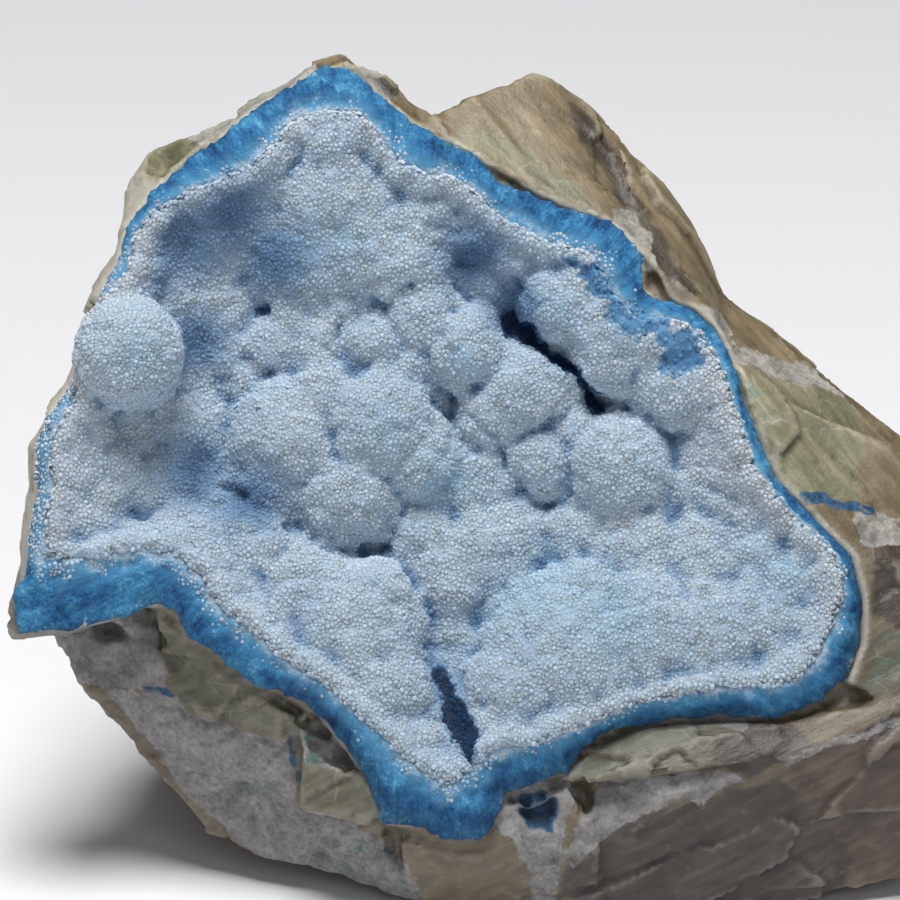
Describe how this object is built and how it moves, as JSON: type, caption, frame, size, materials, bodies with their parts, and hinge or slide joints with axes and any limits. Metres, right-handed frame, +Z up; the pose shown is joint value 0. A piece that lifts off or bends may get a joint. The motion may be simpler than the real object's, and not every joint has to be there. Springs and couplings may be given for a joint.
{
  "type": "mineral specimen, shattuckite in quartz",
  "caption": "Hand specimen of broken quartz on a flat base, with an open pocket lined by blue shattuckite and covered inside by round lumps of pale druse.",
  "frame": {"origin": "middle of the specimen's extent, on the surface that it stands on", "axes": "+Z up, -Y out of the open pocket, +X to the right as seen from in front of the pocket"},
  "size_m": [0.0978, 0.0604, 0.0814],
  "materials": {
    "quartz_rock": "broken translucent quartz, tan, olive and brown, with chalky white clay",
    "blue_shattuckite": "matt fibrous azure blue",
    "pale_druse": "glittering skin of tiny clear and milky crystals over blue"
  },
  "bodies": {
    "root": {"quartz_matrix": "quartz_rock", "shattuckite_lining": "blue_shattuckite", "quartz_druse_crust": "pale_druse"}
  },
  "joints": []
}
